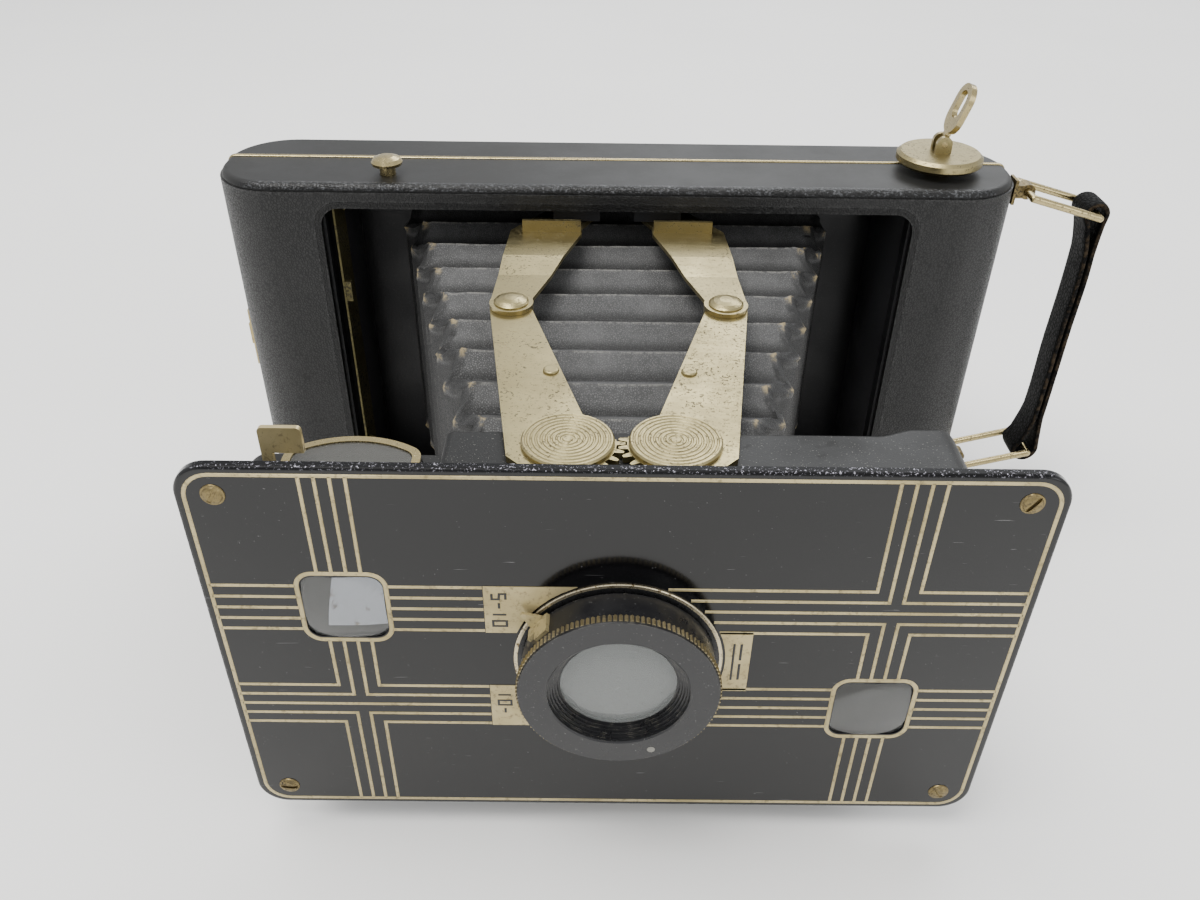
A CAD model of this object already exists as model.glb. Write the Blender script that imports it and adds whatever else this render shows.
"""Folding camera, standing open on its base, with a carrying strap at its right end.

x runs to the right, z up, and -y is the front: the lens and the face plate look
along -y, and the bellows widens back into the case. Units are metres; lengths
written as n * MM, and the plate's line work, are in millimetres.
The CAD parts get their finishes first. The plate lines and numerals, index spot,
bellows, strap and case seam are then built as meshes.
"""
import math

import bmesh
import bpy
from mathutils import Matrix, Vector, noise


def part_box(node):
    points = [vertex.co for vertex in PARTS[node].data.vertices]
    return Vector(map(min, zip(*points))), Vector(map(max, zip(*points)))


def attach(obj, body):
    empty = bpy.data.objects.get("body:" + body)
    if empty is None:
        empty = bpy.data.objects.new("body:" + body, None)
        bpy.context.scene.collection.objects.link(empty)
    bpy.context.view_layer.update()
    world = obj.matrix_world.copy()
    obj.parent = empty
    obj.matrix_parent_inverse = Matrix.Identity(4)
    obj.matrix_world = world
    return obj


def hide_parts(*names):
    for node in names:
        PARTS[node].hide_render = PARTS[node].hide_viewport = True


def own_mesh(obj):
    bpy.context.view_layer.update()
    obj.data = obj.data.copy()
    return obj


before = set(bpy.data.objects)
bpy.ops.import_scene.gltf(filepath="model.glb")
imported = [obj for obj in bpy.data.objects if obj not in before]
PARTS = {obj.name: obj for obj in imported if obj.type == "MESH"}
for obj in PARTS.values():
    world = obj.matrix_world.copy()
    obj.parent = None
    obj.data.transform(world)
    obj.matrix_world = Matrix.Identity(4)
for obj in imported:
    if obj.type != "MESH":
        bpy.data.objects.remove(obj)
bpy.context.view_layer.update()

MM = 0.001

CASE_HEIGHT = 82.5 * MM
AXIS_Z = CASE_HEIGHT / 2                   # height of the lens axis
PLATE_LO, PLATE_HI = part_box("face_plate")
PLATE_Y = PLATE_LO.y                       # front surface of the face plate
MID_Z = 0.5 * (PLATE_LO.z + PLATE_HI.z)    # mid height of the face plate


# ------------------------------------------------------------------ material helpers
class Signal:
    """A node output. Arithmetic on it adds Math nodes."""

    def __init__(self, mat, socket):
        self.mat = mat
        self.socket = socket

    def __add__(self, other):
        return self.mat.math("ADD", self, other)

    def __radd__(self, other):
        return self.mat.math("ADD", other, self)

    def __sub__(self, other):
        return self.mat.math("SUBTRACT", self, other)

    def __rsub__(self, other):
        return self.mat.math("SUBTRACT", other, self)

    def __mul__(self, other):
        return self.mat.math("MULTIPLY", self, other)

    def __pow__(self, other):
        return self.mat.math("POWER", self, other)

    def __abs__(self):
        return self.mat.math("ABSOLUTE", self)

    def clamped(self):
        """Limit the Math node that made this signal to 0..1."""
        self.socket.node.use_clamp = True
        return self

    def ramp(self, span, out=(0.0, 1.0)):
        """Smooth step from out[0] to out[1] as the signal crosses the span."""
        node = self.mat.node("ShaderNodeMapRange", interpolation_type="SMOOTHSTEP")
        self.mat.put(node.inputs["Value"], self)
        names = ("From Min", "From Max", "To Min", "To Max")
        for name, number in zip(names, (*span, *out)):
            node.inputs[name].default_value = number
        return Signal(self.mat, node.outputs["Result"])


class Mat:
    """A material and its node tree, patterned in object coordinates."""

    def __init__(self, name):
        self.material = bpy.data.materials.new(name)
        self.material.use_nodes = True
        self.tree = self.material.node_tree
        self.shader = self.tree.nodes["Principled BSDF"]
        coord = self.node("ShaderNodeTexCoord")
        self.position = Signal(self, coord.outputs["Object"])

    def node(self, kind, **settings):
        node = self.tree.nodes.new(kind)
        for name, value in settings.items():
            setattr(node, name, value)
        return node

    def put(self, socket, value):
        """Link a signal to the socket, or set its value; colours gain alpha 1."""
        if isinstance(value, Signal):
            self.tree.links.new(value.socket, socket)
        elif socket.type == "RGBA":
            socket.default_value = (*value, 1)
        else:
            socket.default_value = value

    def set(self, shader=None, **inputs):
        """Set shader inputs; underscores in their names stand for spaces."""
        shader = shader or self.shader
        for name, value in inputs.items():
            self.put(shader.inputs[name.replace("_", " ")], value)

    def math(self, operation, first, second=0.0):
        node = self.node("ShaderNodeMath", operation=operation)
        self.put(node.inputs[0], first)
        self.put(node.inputs[1], second)
        return Signal(self, node.outputs[0])

    def noise(self, scale=1, detail=4.0, rough=0.6, warp=0.0, stretch=None):
        """Noise; `stretch` gives a frequency for each axis, for streaks."""
        vector = self.position
        if stretch:
            mapping = self.node("ShaderNodeMapping")
            mapping.inputs["Scale"].default_value = stretch
            self.put(mapping.inputs["Vector"], vector)
            vector = Signal(self, mapping.outputs["Vector"])
        node = self.node("ShaderNodeTexNoise")
        self.put(node.inputs["Vector"], vector)
        self.set(node, Scale=scale, Detail=detail, Roughness=rough, Distortion=warp)
        return Signal(self, node.outputs["Fac"])

    def voronoi(self, scale, feature):
        node = self.node("ShaderNodeTexVoronoi", feature=feature)
        self.set(node, Scale=scale, Vector=self.position)
        return Signal(self, node.outputs["Distance"])

    def mix(self, first, second, mask, amount=None):
        """Colour going from first to second with mask, or mask times amount."""
        node = self.node("ShaderNodeMix", data_type="RGBA")
        self.put(node.inputs[0], mask if amount is None else mask * amount)
        self.put(node.inputs[6], first)
        self.put(node.inputs[7], second)
        return Signal(self, node.outputs[2])

    def mix_normals(self, first, second, mask):
        node = self.node("ShaderNodeMix", data_type="VECTOR")
        self.put(node.inputs[0], mask)
        self.put(node.inputs[4], first)
        self.put(node.inputs[5], second)
        return Signal(self, node.outputs[1])

    def xyz(self):
        node = self.node("ShaderNodeSeparateXYZ")
        self.put(node.inputs[0], self.position)
        return [Signal(self, output) for output in node.outputs]

    def axis_radius(self, x, z):
        """Distance from the lens axis."""
        return self.math("SQRT", x ** 2.0 + (z - AXIS_Z) ** 2.0)

    def edge(self, radius):
        """0 on flat areas, towards 1 on sharp edges."""
        bevel = self.node("ShaderNodeBevel", samples=4)
        bevel.inputs["Radius"].default_value = radius
        geometry = self.node("ShaderNodeNewGeometry")
        dot = self.node("ShaderNodeVectorMath", operation="DOT_PRODUCT")
        self.put(dot.inputs[0], Signal(self, bevel.outputs["Normal"]))
        self.put(dot.inputs[1], Signal(self, geometry.outputs["Normal"]))
        return (1.0 - Signal(self, dot.outputs["Value"])).clamped()

    def bump(self, height, depth, strength):
        node = self.node("ShaderNodeBump")
        self.set(node, Strength=strength, Distance=depth, Height=height)
        return Signal(self, node.outputs["Normal"])

    def attribute(self, name):
        node = self.node("ShaderNodeAttribute", attribute_name=name)
        return Signal(self, node.outputs["Fac"])


def srgb(*channels):
    """Linear colour from 0..255 sRGB channels."""
    def linear(channel):
        c = channel / 255
        return c / 12.92 if c <= 0.04045 else ((c + 0.055) / 1.055) ** 2.4
    return tuple(linear(channel) for channel in channels)


def shade(color, factor):
    return tuple(c * factor for c in color)


# ------------------------------------------------------------------ metals
def make_nickel(name, base, dark, rough, pit_level, brush=(1, 1, 1)):
    """Brushed metal with dark pits and light edges; a lower pit level gives more pits."""
    mat = Mat(name)
    broad = mat.noise(scale=90)
    fine = mat.noise(scale=2600, detail=3, rough=0.7)
    color = mat.mix(base, shade(base, 0.8), mask=broad.ramp(span=(0.35, 0.7)))
    pits = mat.noise(scale=2000, detail=3, rough=0.65).ramp(span=(pit_level, pit_level + 0.06))
    zone = mat.noise(scale=140, detail=3).ramp(span=(0.42, 0.62))
    pits = pits * (zone * 0.7 + 0.3)  # fainter outside the pitted zones
    color = mat.mix(color, dark, mask=pits, amount=0.85)
    edge = mat.edge(radius=0.0004).ramp(span=(0.02, 0.25))
    light = tuple(min(1, c * 1.15) for c in base)
    color = mat.mix(color, light, mask=edge, amount=0.5)
    lines = mat.noise(detail=3, stretch=shade(brush, 900))
    # roughness and relief are weighted sums of the patterns
    roughness = (broad * 0.6 + lines * 0.4).ramp(span=(0.3, 0.7), out=rough)
    height = (lines + fine * 0.5) * 0.3 - pits
    mat.set(Base_Color=color, Metallic=1.0 - pits * 0.55,
            Roughness=(roughness + pits * 0.25).clamped(),
            Normal=mat.bump(height, depth=0.00003, strength=0.6))
    return mat.material


NICKEL = make_nickel(
    "nickel", base=srgb(160, 148, 108), dark=srgb(44, 37, 22),
    rough=(0.26, 0.42), pit_level=0.57, brush=(0.25, 1.6, 1.6))
NICKEL_BRIGHT = make_nickel(
    "nickel_bright", base=srgb(176, 161, 118), dark=srgb(56, 46, 26),
    rough=(0.18, 0.34), pit_level=0.58, brush=(1.5, 0.3, 1.5))
BRASSY = make_nickel(
    "brass_nickel", base=srgb(128, 114, 80), dark=srgb(40, 32, 18),
    rough=(0.28, 0.48), pit_level=0.5)
OLIVE = make_nickel(
    "worn_spring", base=srgb(96, 90, 62), dark=srgb(34, 30, 20),
    rough=(0.38, 0.6), pit_level=0.5, brush=(1, 1, 0.3))
STEEL = make_nickel(
    "spring_steel", base=srgb(140, 141, 142), dark=srgb(60, 55, 48),
    rough=(0.25, 0.4), pit_level=0.62, brush=(1, 1, 0.2))


# ------------------------------------------------------------------ paints
def make_paint(name, base, rough, grain, grain_depth, specular, worn, dust):
    """Grained black paint with pale specks, chipped to the worn colour on edges."""
    mat = Mat(name)
    broad = mat.noise(scale=60)
    lighter = tuple(c * 1.35 + 0.002 for c in base)
    color = mat.mix(base, lighter, mask=broad.ramp(span=(0.3, 0.75)))
    specks = mat.noise(scale=3800, detail=2, rough=0.5).ramp(span=(0.66, 0.72))
    color = mat.mix(color, srgb(170, 168, 160), mask=specks, amount=dust)
    edge = mat.edge(radius=0.0006).ramp(span=(0.05, 0.35))
    chips = edge * mat.noise(scale=900, rough=0.7).ramp(span=(0.54, 0.6))
    color = mat.mix(color, worn, mask=chips, amount=0.75)
    scratches = mat.noise(detail=2, rough=0.5, stretch=(260, 260, 5200))
    roughness = broad.ramp(span=(0.3, 0.7), out=(rough * 0.85, rough * 1.2))
    roughness = (roughness + scratches.ramp(span=(0.62, 0.7)) * 0.08).clamped()
    height = mat.noise(scale=grain, detail=3, rough=0.65)
    mat.set(Base_Color=color, Roughness=roughness, Specular_IOR_Level=specular,
            Normal=mat.bump(height, depth=grain_depth, strength=0.7))
    return mat.material


HOUSE = make_paint(
    "standard_paint", base=srgb(23, 23, 23), rough=0.5, grain=2600, grain_depth=0.00004,
    specular=0.22, worn=srgb(120, 116, 106), dust=0.22)
INNER = make_paint(
    "inner_black", base=srgb(20, 20, 22), rough=0.5, grain=1500, grain_depth=0.00006,
    specular=0.4, worn=srgb(60, 58, 54), dust=0.05)


def make_ring():
    """Black enamel with the nickel showing on the worn teeth of the knurl."""
    mat = Mat("ring_worn")
    x, y, z = mat.xyz()
    teeth = mat.axis_radius(x, z).ramp(span=(0.01490, 0.01510))
    front = y.ramp(span=(-0.10638, -0.10628), out=(1.0, 0.0))
    worn = teeth * front * mat.noise(scale=420, rough=0.7).ramp(span=(0.28, 0.5))
    edge = mat.edge(radius=0.00025).ramp(span=(0.05, 0.3))
    rubbed = edge * mat.noise(scale=700, detail=3, rough=0.7).ramp(span=(0.5, 0.62))
    spots = mat.noise(scale=2600, detail=3).ramp(span=(0.66, 0.71))
    color = mat.mix(srgb(24, 24, 26), srgb(150, 150, 148), mask=spots, amount=0.3)
    color = mat.mix(color, srgb(150, 146, 132), mask=rubbed, amount=0.4)
    color = mat.mix(color, srgb(172, 158, 120), mask=worn, amount=0.85)
    height = mat.noise(scale=2600, detail=3)
    mat.set(Base_Color=color, Metallic=worn * 0.9,
            Roughness=mat.noise(scale=300).ramp(span=(0.3, 0.7), out=(0.26, 0.4)),
            Normal=mat.bump(height, depth=0.00002, strength=0.6))
    return mat.material


RING_WORN = make_ring()


def make_barrel():
    """Black seat of the focusing ring with a bright nickel rim round it."""
    mat = Mat("barrel_rim")
    x, _, z = mat.xyz()
    rim = mat.axis_radius(x, z).ramp(span=(0.01528, 0.01534))
    grain = mat.noise(scale=1400, rough=0.7)
    bright = mat.mix(srgb(206, 194, 164), srgb(96, 80, 52), mask=grain.ramp(span=(0.55, 0.66)))
    mat.set(Base_Color=mat.mix(srgb(20, 20, 21), bright, mask=rim), Metallic=rim * 0.95,
            Roughness=grain.ramp(span=(0.3, 0.7), out=(0.22, 0.42)),
            Normal=mat.bump(grain, depth=0.00003, strength=0.5))
    return mat.material


BARREL = make_barrel()


# ------------------------------------------------------------------ leatherette and case shell
def leather_height(mat, scale):
    """Leather relief: rounded cells parted by creases, with fine grain over them."""
    cells = mat.voronoi(scale, "SMOOTH_F1")
    crease = mat.voronoi(scale * 0.62, "DISTANCE_TO_EDGE")
    fine = mat.noise(scale=scale * 2.2, rough=0.65)
    return crease.ramp(span=(0.0, 0.22)) * 0.9 + cells * -0.5 + fine * 0.5


def leatherette_skin(mat):
    """Relief, broad variation, colour and normal of the fine black leatherette."""
    height = leather_height(mat, scale=2700)
    broad = mat.noise(scale=50)
    color = mat.mix(srgb(12, 12, 12), srgb(21, 21, 21), mask=height.ramp(span=(0.2, 1.1)))
    color = mat.mix(color, srgb(38, 38, 38), mask=broad.ramp(span=(0.45, 0.75)), amount=0.35)
    edge = mat.edge(radius=0.0012).ramp(span=(0.02, 0.3))
    rubbed = edge * mat.noise(scale=1400, rough=0.7).ramp(span=(0.48, 0.6))
    color = mat.mix(color, srgb(84, 84, 83), mask=rubbed, amount=0.4)
    return height, broad, color, mat.bump(height, depth=0.00006, strength=0.8)


def make_leatherette():
    mat = Mat("leatherette")
    height, _, color, normal = leatherette_skin(mat)
    mat.set(Base_Color=color, Roughness=height.ramp(span=(0.2, 1.1), out=(0.62, 0.36)),
            Specular_IOR_Level=0.42, Normal=normal)
    return mat.material


def make_shell():
    """Paint on the flat top and bottom behind the front edge, leatherette elsewhere."""
    mat = Mat("shell_paint")
    _, broad, leather, leather_normal = leatherette_skin(mat)
    _, y, z = mat.xyz()
    paint = mat.mix(srgb(24, 24, 24), srgb(31, 31, 30), mask=broad.ramp(span=(0.3, 0.75)))
    specks = mat.noise(scale=3600, detail=2, rough=0.5).ramp(span=(0.68, 0.73))
    paint = mat.mix(paint, srgb(130, 130, 126), mask=specks, amount=0.22)
    behind = y.ramp(span=(-0.01235, -0.01195))
    flat = abs(z - AXIS_Z).ramp(span=(0.0400, 0.0403))
    wrap = 1.0 - behind * flat
    bright = wrap * flat * mat.noise(scale=1700, detail=3, rough=0.7).ramp(span=(0.52, 0.64))
    color = mat.mix(paint, leather, mask=wrap)
    color = mat.mix(color, srgb(120, 122, 126), mask=bright, amount=0.3)
    paint_normal = mat.bump(mat.noise(scale=2200, detail=3), depth=0.00003, strength=0.5)
    # the leatherette is 0.1 smoother than the paint
    roughness = wrap * -0.1 + broad.ramp(span=(0.3, 0.7), out=(0.4, 0.52))
    mat.set(Base_Color=color, Roughness=roughness, Specular_IOR_Level=0.26,
            Normal=mat.mix_normals(paint_normal, leather_normal, mask=wrap))
    return mat.material


LEATHERETTE = make_leatherette()
SHELL = make_shell()


# ------------------------------------------------------------------ face plate finishes
ENAMEL_HALF_HEIGHT = 0.0358


def make_enamel():
    """Glossy black enamel plate, chipped to bright specks along its rolled edge."""
    mat = Mat("enamel")
    x, _, z = mat.xyz()
    from_side = PLATE_HI.x - abs(x)
    from_end = ENAMEL_HALF_HEIGHT - abs(z - AXIS_Z)
    inset = mat.math("MINIMUM", from_side, from_end)
    rim = inset.ramp(span=(0.0001, 0.0006), out=(1.0, 0.0))
    chips = rim * mat.noise(scale=2600, rough=0.8).ramp(span=(0.58, 0.64))
    dust = mat.noise(scale=2400, detail=2, rough=0.5).ramp(span=(0.735, 0.76))
    lint = mat.noise(detail=2, rough=0.5, warp=0.4, stretch=(160, 160, 3200))
    lint = lint.ramp(span=(0.735, 0.76))
    broad = mat.noise(scale=45, rough=0.65)
    color = mat.mix(srgb(7, 7, 8), srgb(11, 11, 12), mask=broad.ramp(span=(0.3, 0.75)))
    color = mat.mix(color, srgb(150, 150, 150), mask=(dust + lint).clamped(), amount=0.35)
    color = mat.mix(color, srgb(9, 9, 11), mask=rim, amount=0.8)
    color = mat.mix(color, srgb(178, 176, 186), mask=chips, amount=0.8)
    # rim and dust dull the gloss; chips sink a little into the wavy surface
    roughness = broad.ramp(span=(0.3, 0.7), out=(0.1, 0.18)) + (rim * 0.3 + dust * 0.3)
    height = mat.noise(scale=130, detail=2, rough=0.5) - chips * 0.3
    mat.set(Base_Color=color, Roughness=roughness.clamped(), Metallic=chips * 0.5,
            Specular_IOR_Level=rim.ramp(span=(0.0, 1.0), out=(0.4, 0.12)),
            Coat_Weight=rim.ramp(span=(0.0, 1.0), out=(0.04, 0.0)), Coat_Roughness=0.06,
            Normal=mat.bump(height, depth=0.00008, strength=0.35))
    return mat.material


ENAMEL = make_enamel()


def make_cream():
    """Cream-toned metal with brown tarnish."""
    mat = Mat("cream_metal")
    grain = mat.noise(scale=900, detail=5, rough=0.75)
    broad = mat.noise(scale=70).ramp(span=(0.35, 0.7))
    color = mat.mix(srgb(188, 174, 132), srgb(160, 146, 104), mask=broad)
    tarnish = grain.ramp(span=(0.53, 0.64))
    color = mat.mix(color, srgb(96, 86, 62), mask=tarnish, amount=0.55)
    mat.set(Base_Color=color, Metallic=0.55,
            Roughness=grain.ramp(span=(0.3, 0.7), out=(0.28, 0.5)),
            Normal=mat.bump(grain, depth=0.00003, strength=0.6))
    return mat.material


CREAM = make_cream()


# ------------------------------------------------------------------ bellows and strap leather
def make_bellows_leather():
    """Grey leather: dark valleys, scuffed light ridges, tan where corners are worn through."""
    mat = Mat("bellows_leather")
    fold = mat.attribute("fold")
    corner = mat.attribute("corner")
    side = mat.attribute("side")
    height = leather_height(mat, scale=4300)
    grain = mat.noise(scale=600, detail=5, rough=0.75)
    broad = mat.noise(scale=110, rough=0.65).ramp(span=(0.3, 0.72))
    color = mat.mix(srgb(54, 54, 54), srgb(74, 74, 74), mask=broad)
    color = mat.mix(color, srgb(98, 98, 98), mask=height.ramp(span=(0.5, 1.1)), amount=0.45)
    color = mat.mix(color, srgb(14, 14, 15), mask=side, amount=0.82)
    valley = fold.ramp(span=(0.04, 0.5), out=(1.0, 0.0))
    color = mat.mix(color, srgb(13, 13, 13), mask=valley, amount=0.92)
    # the side walls keep only a little of the ridge scuffing
    ridge = fold.ramp(span=(0.9, 1.0)) * grain.ramp(span=(0.42, 0.58)) * (1.0 - side * 0.8)
    color = mat.mix(color, srgb(136, 134, 128), mask=ridge, amount=0.5)
    dark_corner = corner.ramp(span=(0.0, 0.6)) * fold.ramp(span=(0.9, 0.5))
    color = mat.mix(color, srgb(15, 15, 15), mask=dark_corner, amount=0.75)
    worn = corner.ramp(span=(0.15, 0.75)) * fold.ramp(span=(0.66, 0.94))
    worn = worn * mat.noise(scale=520, rough=0.7).ramp(span=(0.42, 0.55))
    color = mat.mix(color, srgb(150, 134, 98), mask=worn, amount=0.85)
    mat.set(Base_Color=color, Roughness=height.ramp(span=(0.3, 1.1), out=(0.66, 0.46)),
            Specular_IOR_Level=0.42,
            Normal=mat.bump(height + grain * 0.7, depth=0.00006, strength=0.8))
    return mat.material


BELLOWS = make_bellows_leather()


def make_strap_leather():
    """Dull black leather with cross wrinkles and browned edges."""
    mat = Mat("strap_leather")
    height = leather_height(mat, scale=1700)
    border = mat.attribute("edge")
    wrinkles = mat.noise(stretch=(60, 60, 420))
    color = mat.mix(srgb(6, 6, 6), srgb(13, 13, 13), mask=height.ramp(span=(0.3, 1.1)))
    edge = mat.edge(radius=0.0006).ramp(span=(0.03, 0.3))
    rubbed = edge * mat.noise(scale=800, rough=0.7).ramp(span=(0.5, 0.62))
    color = mat.mix(color, srgb(64, 58, 50), mask=rubbed, amount=0.2)
    patches = mat.noise(scale=700, detail=3, rough=0.7).ramp(span=(0.4, 0.66))
    color = mat.mix(color, srgb(84, 70, 52), mask=border * 0.4 * patches)
    mat.set(Base_Color=color, Roughness=height.ramp(span=(0.3, 1.1), out=(0.72, 0.55)),
            Specular_IOR_Level=0.08,
            Normal=mat.bump(height + wrinkles * 1.6, depth=0.00009, strength=0.85))
    return mat.material


STRAP = make_strap_leather()


# ------------------------------------------------------------------ glass, mirror, plain marks
def make_glass(name, tint, rough, haze, haze_color, haze_metal=0.0, haze_rough=0.35):
    """Polished glass under a haze layer with a little dust."""
    mat = Mat(name)
    streaks = mat.noise(scale=420).ramp(span=(0.3, 0.8), out=(rough, rough + 0.05))
    mat.set(Base_Color=tint, Roughness=streaks, Transmission_Weight=1.0, IOR=1.5,
            Normal=mat.bump(mat.noise(scale=60, detail=2), depth=0.00004, strength=0.3))
    film = mat.node("ShaderNodeBsdfPrincipled")
    mat.set(film, Base_Color=haze_color, Roughness=haze_rough, Metallic=haze_metal,
            Specular_IOR_Level=0.6)
    dust = mat.noise(scale=1800, rough=0.7).ramp(span=(0.6, 0.75)) * 0.12
    blend = mat.node("ShaderNodeMixShader")
    mat.put(blend.inputs[0], (haze + dust).clamped())
    links = mat.tree.links
    links.new(mat.shader.outputs[0], blend.inputs[1])
    links.new(film.outputs[0], blend.inputs[2])
    links.new(blend.outputs[0], mat.tree.nodes["Material Output"].inputs["Surface"])
    return mat.material


GLASS_LENS = make_glass(
    "optic_lens", tint=(0.96, 0.98, 1.0), rough=0.02, haze=0.48, haze_color=srgb(140, 143, 141))
GLASS_FINDER = make_glass(
    "optic_finder", tint=(0.97, 0.98, 1.0), rough=0.03, haze=0.16,
    haze_color=srgb(96, 96, 92), haze_metal=0.5, haze_rough=0.08)
GLASS_TOP = make_glass(
    "optic_view", tint=(0.92, 0.94, 0.93), rough=0.05, haze=0.5, haze_color=srgb(80, 79, 74))
RUBY = make_glass(
    "ruby", tint=(0.5, 0.01, 0.01), rough=0.03, haze=0.1, haze_color=srgb(120, 10, 10))


def make_mirror():
    mat = Mat("mirror")
    spots = mat.noise(scale=300, detail=5, rough=0.7).ramp(span=(0.58, 0.68))
    mat.set(Base_Color=mat.mix((0.82, 0.84, 0.86), srgb(120, 100, 80), mask=spots),
            Metallic=1.0, Roughness=spots.ramp(span=(0, 1), out=(0.04, 0.3)))
    return mat.material


MIRROR = make_mirror()


def make_plain(name, color, rough):
    mat = Mat(name)
    grain = mat.noise(scale=1500, rough=0.7)
    mat.set(Base_Color=mat.mix(color, shade(color, 0.7), mask=grain.ramp(span=(0.35, 0.7))),
            Roughness=grain.ramp(span=(0.3, 0.7), out=(rough * 0.85, rough * 1.2)),
            Normal=mat.bump(grain, depth=0.00002, strength=0.5))
    return mat.material


WHITE_DOT = make_plain("index_white", color=srgb(128, 126, 118), rough=0.5)
MARK = make_plain("mark_black", color=srgb(24, 23, 22), rough=0.4)


# ------------------------------------------------------------------ finishes of the CAD parts
FINISHES = {
    SHELL: ["body_shell", "back_cover"],
    LEATHERETTE: ["body_covering", "back_covering"],
    INNER: ["strut_brackets", "film_frame", "supply_spool", "takeup_spool", "pressure_plate",
            "finder_shells", "shutter_plate", "bellows_clamp", "lens_retainer"],
    HOUSE: ["standard_housing"],
    ENAMEL: ["face_plate"],
    RING_WORN: ["focusing_ring"],
    STRAP: ["strap"],
    BELLOWS: ["bellows"],
    GLASS_LENS: ["front_lens", "rear_lens"],
    GLASS_FINDER: ["finder_front_lenses"],
    GLASS_TOP: ["finder_view_lenses"],
    RUBY: ["red_window"],
    MIRROR: ["finder_mirrors"],
    STEEL: ["spool_pins", "film_roller_left", "film_roller_right", "pressure_springs",
            "lever_pivot", "shutter_blade"],
    BRASSY: ["plate_screws", "back_hinge_pin", "bail_anchors"],
    OLIVE: ["catch_strip"],
    BARREL: ["lens_barrel"],
    CREAM: ["release_lever", "focus_pointer"],
    NICKEL_BRIGHT: ["release_button", "bail_upper", "bail_lower", "finder_rims", "back_latch",
                    "red_window_ring", "winding_key", "tripod_socket"],
}
listed = {name for names in FINISHES.values() for name in names}
FINISHES[NICKEL] = [name for name in PARTS if name not in listed]
for material, names in FINISHES.items():
    for name in names:
        slots = PARTS[name].data.materials
        slots.clear()
        slots.append(material)
for part in PARTS.values():
    for polygon in part.data.polygons:
        polygon.use_smooth = True
    part.modifiers.new("normals", "EDGE_SPLIT").split_angle = math.radians(28)


# ------------------------------------------------------------------ mesh helpers
def piece(name, verts, faces, material, body, smooth=False, attributes=None):
    """Mesh object with outward normals, riding on `body` if one is given."""
    mesh = bpy.data.meshes.new(name)
    mesh.from_pydata(verts, [], faces)
    mesh.validate()
    bm = bmesh.new()
    bm.from_mesh(mesh)
    bmesh.ops.recalc_face_normals(bm, faces=bm.faces)
    bm.to_mesh(mesh)
    bm.free()
    for key, values in (attributes or {}).items():
        mesh.attributes.new(key, "FLOAT", "POINT").data.foreach_set("value", values)
    obj = bpy.data.objects.new(name, mesh)
    bpy.context.scene.collection.objects.link(obj)
    mesh.materials.append(material)
    for polygon in mesh.polygons:
        polygon.use_smooth = smooth
    if body:
        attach(obj, body)
    return obj


def loft(rings, size, base=0, closed=False):
    """Quads between successive rings of `size` points, starting at vertex `base`."""
    faces = []
    for i in range(rings if closed else rings - 1):
        a = base + i * size
        b = base + (i + 1) % rings * size
        for j in range(size):
            k = (j + 1) % size
            faces.append((a + j, a + k, b + k, b + j))
    return faces


def caps(rings, size, base=0):
    """End faces of a loft."""
    last = base + (rings - 1) * size
    return [tuple(range(base, base + size)), tuple(reversed(range(last, last + size)))]


def path_normal(before, after):
    """Unit normal, to the left of the way from one path point to another."""
    way = Vector((after[0] - before[0], after[1] - before[1])).normalized()
    return -way.y, way.x


class Inlay:
    """Raised flat work on the plate; points are (x, z) in mm from the plate's centre."""

    def __init__(self, front, back):
        self.front = front
        self.back = back
        self.verts = []
        self.faces = []

    def add(self, point, y):
        self.verts.append((point[0] * MM, y, point[1] * MM + MID_Z))

    def ribbon(self, points, width, closed=False):
        """Flat bar along a polyline, mitred at its corners, with chamfered front edges."""
        points = [Vector(point) for point in points]
        count = len(points)
        base = len(self.verts)
        chamfer = min(0.12, width * 0.2)
        narrow = 1 - 2 * chamfer / width
        ways = [(points[(i + 1) % count] - points[i]).normalized() for i in range(count)]
        for i, point in enumerate(points):
            way_in = ways[i - 1 if closed or i > 0 else 0]
            way_out = ways[i if closed or i < count - 1 else i - 1]
            normal_in = Vector((-way_in.y, way_in.x))
            normal_out = Vector((-way_out.y, way_out.x))
            mitre = (normal_in + normal_out).normalized()
            reach = width / 2 / max(0.3, mitre.dot(normal_in))
            left = point + mitre * reach
            right = point - mitre * reach
            middle = (left + right) / 2
            self.add(left, self.back)
            self.add(middle + (left - middle) * narrow, self.front)
            self.add(middle + (right - middle) * narrow, self.front)
            self.add(right, self.back)
        self.faces += loft(count, 4, base, closed)
        if not closed:
            self.faces += caps(count, 4, base)

    def patch(self, x, low, high, radius, steps=8):
        """Filled patch between an upright edge at x and a circle round the centre."""
        outline = [(x, low), (x, high)]
        for i in range(steps + 1):
            z = high + (low - high) * i / steps
            outline.append((math.copysign(math.sqrt(radius ** 2 - z ** 2), x), z))
        base = len(self.verts)
        for y in (self.front, self.back):
            for point in outline:
                self.add(point, y)
        self.faces += caps(2, len(outline), base) + loft(2, len(outline), base)

    def build(self, name, material):
        piece(name, self.verts, self.faces, material, "front_standard")


def round_rect(center, half_width, half_height, radius, steps=8):
    points = []
    for sx, sz, start in ((1, 1, 0), (-1, 1, 90), (-1, -1, 180), (1, -1, 270)):
        for i in range(steps + 1):
            angle = math.radians(start + 90 * i / steps)
            points.append((center[0] + sx * (half_width - radius) + radius * math.cos(angle),
                           center[1] + sz * (half_height - radius) + radius * math.sin(angle)))
    return points


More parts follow.
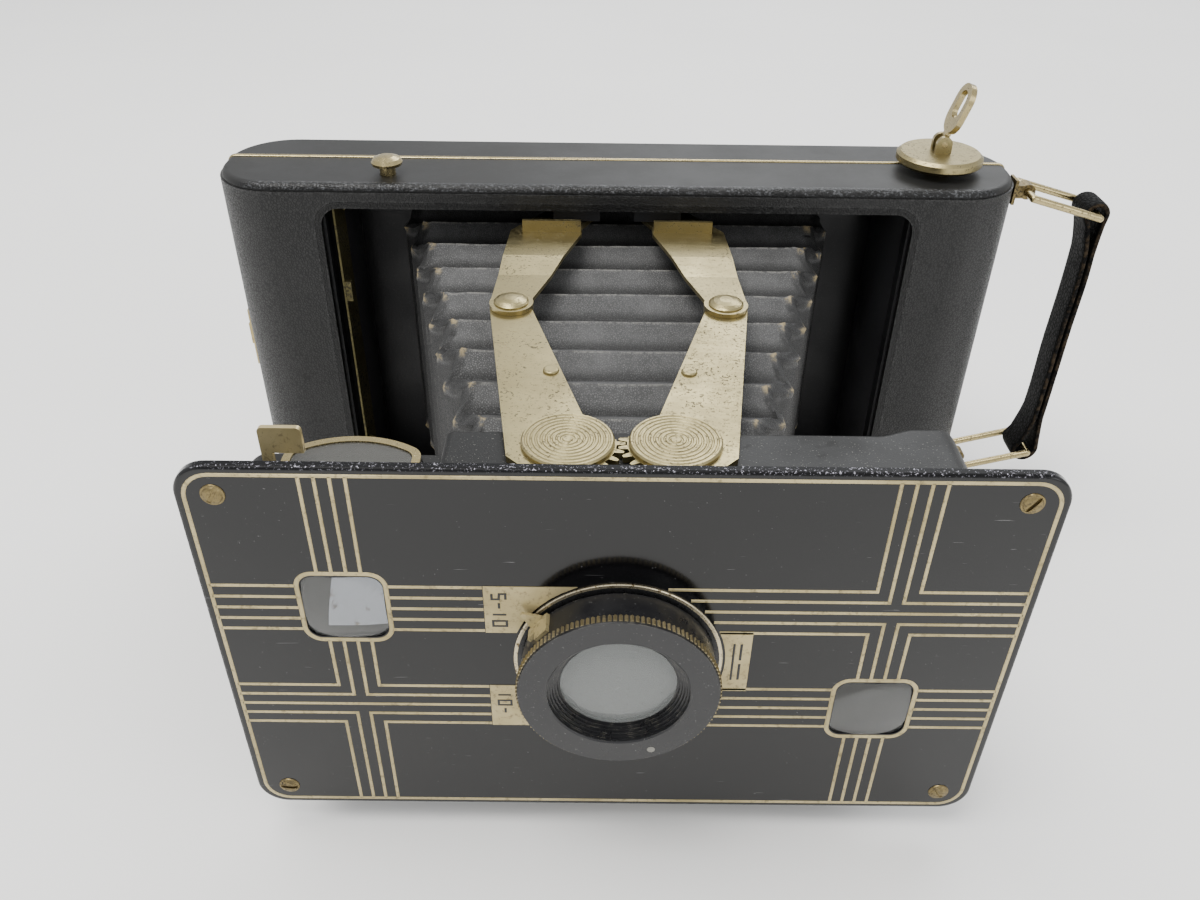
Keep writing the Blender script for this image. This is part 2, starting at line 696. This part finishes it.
# ------------------------------------------------------------------ line pattern of the plate (mm)
LINE_FRONT = PLATE_Y - 0.00009
LINE_WIDTH = 0.62
PLATE_HALF_X = 1000 * PLATE_HI.x
LINE_END_X = PLATE_HALF_X - 1.5            # where lines meet the border
LINE_END_Z = 34.4
ROWS = [6.1 + 2.15 * i for i in range(5)]
COLUMNS = [37.0 + 2.1 * i for i in range(4)]
LENS_RIM = 16.25
PATCH_STOP = 19.9                          # where lines meet the patches on the left
WINDOW_X, WINDOW_Z = 40.15, 10.5           # finder windows: upper left and lower right
WINDOW_CLEAR_X, WINDOW_CLEAR_Z = 6.6, 6.8  # lines stop this far from a window's centre


def build_line_pattern():
    inlay = Inlay(front=LINE_FRONT, back=PLATE_Y + 0.00004)
    inlay.ribbon(round_rect((0, 0), PLATE_HALF_X - 1.42, 34.5, radius=3.9), 0.68, closed=True)
    for turn in (-1, 1):
        center = (turn * WINDOW_X, -turn * WINDOW_Z)
        inlay.ribbon(round_rect(center, 6.42, 6.6, radius=2.5), 0.8, closed=True)

    def rim_x(z):
        return math.sqrt(LENS_RIM ** 2 - z * z)

    # upper half of the plate (turn = 1), then the same turned half round
    for turn in (1, -1):
        lines = []
        for z in ROWS:
            stop = PATCH_STOP if turn > 0 else rim_x(z)
            lines.append([(-LINE_END_X, z), (-WINDOW_X - WINDOW_CLEAR_X, z)])
            lines.append([(-WINDOW_X + WINDOW_CLEAR_X, z), (-stop, z)])
        for x in reversed(COLUMNS):
            lines.append([(-x, LINE_END_Z), (-x, WINDOW_Z + WINDOW_CLEAR_Z)])

        def start(z):
            return rim_x(z) if turn > 0 else PATCH_STOP

        def crossing(outer, inner, end):
            """Four rows that turn into the columns, two from each side."""
            starts = ((start(outer), outer), (start(inner), inner),
                      (LINE_END_X, inner), (LINE_END_X, outer))
            for (x, z), column in zip(starts, COLUMNS):
                lines.append([(x, z), (column, z), (column, end)])

        crossing(ROWS[4], ROWS[3], LINE_END_Z)
        lines.append([(start(ROWS[2]), ROWS[2]), (LINE_END_X, ROWS[2])])
        crossing(ROWS[0], ROWS[1], WINDOW_CLEAR_Z - WINDOW_Z)
        for line in lines:
            inlay.ribbon([(turn * x, turn * z) for x, z in line], LINE_WIDTH)

    low, high, margin = ROWS[0], ROWS[4], 0.35
    for x, bottom, top in ((-19.8, low, high), (-19.8, -high, -low), (20.0, -low, low)):
        inlay.patch(x, bottom - margin, top + margin, LENS_RIM)
    inlay.build("plate_line_pattern", CREAM)


build_line_pattern()


# ------------------------------------------------------------------ numerals on the patches (mm)
# strokes of each character in a unit square, (across, up)
STROKES = {
    "5": [(1, 1), (0, 1), (0, 0.55), (1, 0.5), (1, 0), (0, 0)],
    "1": [(0.5, 1), (0.5, 0)],
    "0": [(0, 0), (1, 0), (1, 1), (0, 1)],
    "-": [(0, 0.5), (1, 0.5)],
}
CHAR_WIDTH, CHAR_HEIGHT, CHAR_GAP = 1.05, 2.0, 0.75
NUMERAL_X = -18.6


def build_numerals():
    inlay = Inlay(front=LINE_FRONT - 0.00005, back=LINE_FRONT + 0.00002)
    # the numerals run down the plate, turned a quarter
    for text, z in (("5-10", 13.6), ("10-", -7.4)):
        for char in text:
            points = [(NUMERAL_X + up * CHAR_HEIGHT, z - across * CHAR_WIDTH)
                      for across, up in STROKES[char]]
            inlay.ribbon(points, 0.42, closed=char == "0")
            z -= CHAR_WIDTH + CHAR_GAP
    for side in (-1, 1):
        inlay.ribbon([(18.48, side * 3.84), (18.48, side * 0.42)], 0.45)
    inlay.ribbon([(17.4, -3.9), (17.4, 3.9)], 0.4)
    inlay.build("plate_numerals", MARK)


build_numerals()


# ------------------------------------------------------------------ focusing ring spot
def build_index_spot():
    """White domed spot on the front of the focusing ring, below the lens."""
    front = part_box("focusing_ring")[0].y
    x, z = 5.2 * MM, MID_Z - 12.1 * MM
    steps = 28
    # radius (mm), y from the ring's front (m), from back to front
    stations = ((0.62, 0.00002), (0.62, -0.00004), (0.48, -0.0001), (0.0, -0.00012))
    verts = []
    for radius, y in stations:
        for i in range(steps):
            angle = 2 * math.pi * i / steps
            verts.append((x + radius * MM * math.cos(angle), front + y,
                          z + radius * MM * math.sin(angle)))
    faces = loft(len(stations), steps) + [tuple(reversed(range(steps)))]
    spot = piece("focus_index_spot", verts, faces, WHITE_DOT, "focusing", smooth=True)
    bm = bmesh.new()
    bm.from_mesh(spot.data)
    bmesh.ops.remove_doubles(bm, verts=bm.verts, dist=1e-7)  # closes the tip
    bm.to_mesh(spot.data)
    bm.free()


build_index_spot()


# ------------------------------------------------------------------ bellows
FOLDS = 9
ROWS_PER_PLEAT = 6                         # mesh rows from one crease to the next
FRONT_HALF = (23.8 * MM, 24.9 * MM)        # half width, half height
BACK_HALF = (47.4 * MM, 30.1 * MM)
FOLD_DEPTH = 3.0 * MM
# the walls in order round the ring: flat (top or bottom), outward sign, divisions
WALLS = ((True, 1, 40), (False, 1, 34), (True, -1, 40), (False, -1, 34))


def build_bellows():
    """Pleated tube; the side walls fold in where the top and bottom stand out."""
    lo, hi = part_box("bellows")
    y_front, y_back = lo.y + 0.0001, hi.y - 0.0001
    rows = 2 * FOLDS * ROWS_PER_PLEAT + 1
    verts, folds, corners, sides = [], [], [], []
    for i in range(rows):
        crease = i / ROWS_PER_PLEAT
        along = i / (rows - 1)
        inside = 0 < i < rows - 1          # the two end rows stay true
        y = y_front + (y_back - y_front) * along
        half_x, half_z = (a + (b - a) * along for a, b in zip(FRONT_HALF, BACK_HALF))
        ridge = abs(crease % 2 - 1)        # 1 on ridges of the top, 0 in its valleys
        wall_z = half_z - FOLD_DEPTH * (1 - ridge)
        wall_x = half_x - FOLD_DEPTH * ridge
        cut = (0.6 + 0.9 * (1.0 - along)) * MM + MM * min(1 - ridge, ridge)
        for flat, sign, divisions in WALLS:
            fold = ridge if flat else 1 - ridge
            for j in range(divisions + 1):
                # place across the wall, -1 to 1, with points packed towards the corners
                even = 1 - 2 * j / divisions
                across = -math.copysign(abs(even) ** 0.45, even)
                if flat:
                    x, z = sign * (wall_x - cut) * across, sign * wall_z
                else:
                    x, z = sign * wall_x, -sign * (wall_z - cut) * across
                end = abs(across)
                # wide panels sag between their ends, and the corners crumple
                sag = (1 - end * end) * (0.2 * MM) * (fold - 0.4)
                crumple = max(0.0, (end - 0.88) / 0.12) * inside
                dents = abs(noise.noise(Vector((x * 520, y * 560, z * 520))))
                swell = (noise.noise(Vector((x * 190, y * 260, z * 190))) * 0.13 * MM
                         + crumple * (0.22 - dents) * 1.3 * MM)
                drift = noise.noise(Vector((x * 120 + 7, 3.1 * round(crease), z * 120)))
                y_moved = y + drift * 0.32 * MM * inside
                shift = sign * (swell - sag)
                verts.append((x if flat else x + shift,
                              min(max(y_moved, y_front), y_back),
                              (z + shift if flat else z) + MID_Z))
                folds.append(fold)
                sides.append(1.0 if not flat and end < 0.94 else 0.0)
                reach = 0.05 if flat else 0.07
                corners.append(max(0.0, (end - (0.95 if flat else 0.93)) / reach))
    faces = loft(rows, len(verts) // rows)
    bellows = piece("bellows_pleats", verts, faces, BELLOWS, None,
                    smooth=True,
                    attributes={"fold": folds, "corner": corners, "side": sides})
    skin = bellows.modifiers.new("skin", "SOLIDIFY")
    skin.thickness = 0.45 * MM
    skin.offset = -1
    bpy.context.view_layer.objects.active = bellows
    bellows.select_set(True)
    bpy.ops.object.modifier_apply(modifier=skin.name)
    bellows.select_set(False)
    bellows.modifiers.new("creases", "EDGE_SPLIT").split_angle = math.radians(24)
    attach(bellows, "body")
    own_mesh(bellows)
    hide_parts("bellows")


build_bellows()


# ------------------------------------------------------------------ strap
STRAP_TOP = Vector((100.4 * MM, 0, 74.9 * MM))     # centres of the end loops
STRAP_BOTTOM = Vector((100.4 * MM, 0, 15.1 * MM))
STRAP_MID_X = 100.7 * MM
STRAP_THICK = 1.3 * MM
TOP_RADIUS = 1.55 * MM + STRAP_THICK / 2
BOTTOM_RADIUS = TOP_RADIUS + 0.45 * MM
LOOP_STEPS, RUN_STEPS = 14, 26
SECTION_POINTS = 20


def build_strap():
    """Closed band: over the upper loop, down the inner run, round below, up the outer run."""
    lo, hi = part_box("strap")
    y_front, y_back = lo.y + 0.0002, hi.y - 0.0002

    def loop(center, radius, start):
        angles = [math.radians(start + 200 * i / LOOP_STEPS) for i in range(LOOP_STEPS + 1)]
        return [(center.x + radius * math.cos(a), center.z + radius * math.sin(a))
                for a in angles]

    def run_point(t, side, gap, spread_top, spread_bottom):
        """Point of a straight run, t = 0 at the top; the runs part near the loops."""
        part = 1 - min(1.0, min(t, 1 - t) * 7) ** 0.8
        offset = gap * MM + part * (spread_top if t < 0.5 else spread_bottom) * MM
        bow = 0.9 * MM * math.sin(math.pi * t) + 0.25 * MM * math.sin(9 * t)
        return (STRAP_MID_X + side * offset + bow,
                STRAP_TOP.z + (STRAP_BOTTOM.z - STRAP_TOP.z) * t)

    steps = [i / RUN_STEPS for i in range(1, RUN_STEPS)]
    path = loop(STRAP_TOP, TOP_RADIUS, start=-10)
    path += [run_point(t, -1, gap=0.70, spread_top=1.45, spread_bottom=1.9) for t in steps]
    path += loop(STRAP_BOTTOM, BOTTOM_RADIUS, start=170)
    path += [run_point(1 - t, 1, gap=0.72, spread_top=1.1, spread_bottom=1.6) for t in steps]

    half_width = (y_back - y_front) / 2
    section = []                           # rounded section: (along y, thickness)
    for i in range(SECTION_POINTS):
        angle = 2 * math.pi * i / SECTION_POINTS
        c, s = math.cos(angle), math.sin(angle)
        section.append((math.copysign(abs(c) ** 0.35, c) * half_width,
                        math.copysign(abs(s) ** 0.6, s) * STRAP_THICK / 2))
    verts, edges = [], []
    for i, (x, z) in enumerate(path):
        normal_x, normal_z = path_normal(path[i - 1], path[(i + 1) % len(path)])
        waver = 1 + 0.02 * math.sin(i * 0.7)
        for width, height in section:
            verts.append((x - normal_x * height,
                          (y_front + y_back) / 2 + width * waver * 0.98,
                          z - normal_z * height))
            edges.append(1.0 if abs(width) > half_width * 0.93 else 0.0)
    faces = loft(len(path), SECTION_POINTS, closed=True)
    strap = piece("strap_leather_band", verts, faces, STRAP, "strap",
                  smooth=True, attributes={"edge": edges})
    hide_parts("strap")


build_strap()


# ------------------------------------------------------------------ seam bead of the case
SEAM_HALF_X = 82.12 * MM
SEAM_RADIUS = 1.4 * MM
SEAM_DROP = 6 * MM                         # length down each end
# section (mm): along y, outward from the case
SEAM_SECTION = ((-0.95, -0.04), (-0.8, 0.18), (-0.25, 0.26), (0.28, 0.18), (0.36, -0.04))


def build_seam():
    """Bright bead near the shell's back edge, over the top and part of both ends."""
    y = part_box("body_shell")[1].y - 0.00042
    corner_x, corner_z = SEAM_HALF_X - SEAM_RADIUS, CASE_HEIGHT - SEAM_RADIUS

    def bend(center_x, start, first):
        angles = [math.radians(start - 90 * i / 7) for i in range(first, 8)]
        return [(center_x + SEAM_RADIUS * math.cos(a), corner_z + SEAM_RADIUS * math.sin(a))
                for a in angles]

    path = [(-SEAM_HALF_X, corner_z - SEAM_DROP + SEAM_DROP * i / 8) for i in range(9)]
    path += bend(-corner_x, start=180, first=1)
    path += [(-corner_x + 2 * corner_x * i / 60, CASE_HEIGHT) for i in range(1, 60)]
    path += bend(corner_x, start=90, first=0)
    path += [(SEAM_HALF_X, corner_z - SEAM_DROP * i / 8) for i in range(1, 9)]

    count, size = len(path), len(SEAM_SECTION)
    verts = []
    for i, (x, z) in enumerate(path):
        normal_x, normal_z = path_normal(path[max(0, i - 1)], path[min(count - 1, i + 1)])
        for along, out in SEAM_SECTION:
            verts.append((x + normal_x * out * MM, y + along * MM, z + normal_z * out * MM))
    faces = loft(count, size) + caps(count, size)
    piece("case_seam_bead", verts, faces, NICKEL_BRIGHT, "body", smooth=True)


build_seam()


# ------------------------------------------------------------------ stage
def make_floor_material():
    mat = Mat("floor_pale")
    cloud = mat.noise(scale=6, detail=3, rough=0.5).ramp(span=(0.3, 0.7))
    mat.set(Base_Color=mat.mix((0.90, 0.895, 0.88), (0.87, 0.865, 0.85), mask=cloud),
            Roughness=0.55, Specular_IOR_Level=0.3)
    return mat.material


def build_floor(half=6):
    corners = [(-half, -half, 0), (half, -half, 0), (half, half, 0), (-half, half, 0)]
    mesh = bpy.data.meshes.new("floor")
    mesh.from_pydata(corners, [], [(0, 1, 2, 3)])
    floor = bpy.data.objects.new("floor", mesh)
    mesh.materials.append(make_floor_material())
    bpy.context.scene.collection.objects.link(floor)


build_floor()

world = bpy.data.worlds.new("studio")
bpy.context.scene.world = world
world.use_nodes = True
background = world.node_tree.nodes["Background"]
background.inputs["Color"].default_value = (0.93, 0.94, 0.95, 1)
background.inputs["Strength"].default_value = 1.08


def area_light(name, location, target, size, power, color=(1, 1, 1)):
    light = bpy.data.lights.new(name, "AREA")
    light.shape = "RECTANGLE"
    light.size, light.size_y = size
    light.energy = power
    light.color = color
    obj = bpy.data.objects.new(name, light)
    obj.location = location
    aim = Vector(target) - Vector(location)
    obj.rotation_euler = aim.to_track_quat("-Z", "Y").to_euler()
    bpy.context.scene.collection.objects.link(obj)


area_light("key", location=(-0.25, -0.15, 0.95), target=(0, -0.03, 0.03),
           size=(0.7, 0.5), power=11.5, color=(1.0, 0.985, 0.96))
area_light("back", location=(0.35, 0.75, 0.75), target=(0, 0, 0.04),
           size=(0.9, 0.4), power=6.5, color=(0.96, 0.98, 1.0))
area_light("fill", location=(0.7, -0.7, 0.5), target=(0, -0.05, 0.04),
           size=(0.5, 0.5), power=1.8)


# ------------------------------------------------------------------ camera
def build_camera(location, forward, right):
    """Camera looking along `forward`; `right` is squared up to it."""
    camera = bpy.data.cameras.new("photo_view")
    camera.sensor_width = 36.0
    camera.lens = 30.45
    camera.clip_start = 0.01
    obj = bpy.data.objects.new("photo_view", camera)
    forward = Vector(forward).normalized()
    right = Vector(right)
    right = (right - forward * right.dot(forward)).normalized()
    pose = Matrix((right, right.cross(forward), -forward)).transposed().to_4x4()
    pose.translation = location
    obj.matrix_world = pose
    bpy.context.scene.collection.objects.link(obj)
    bpy.context.scene.camera = obj


build_camera(location=(-0.0036, -0.208261, 0.156765),
             forward=(0.0031, 0.81518, -0.57916), right=(0.99993, 0.00395, 0.0109))
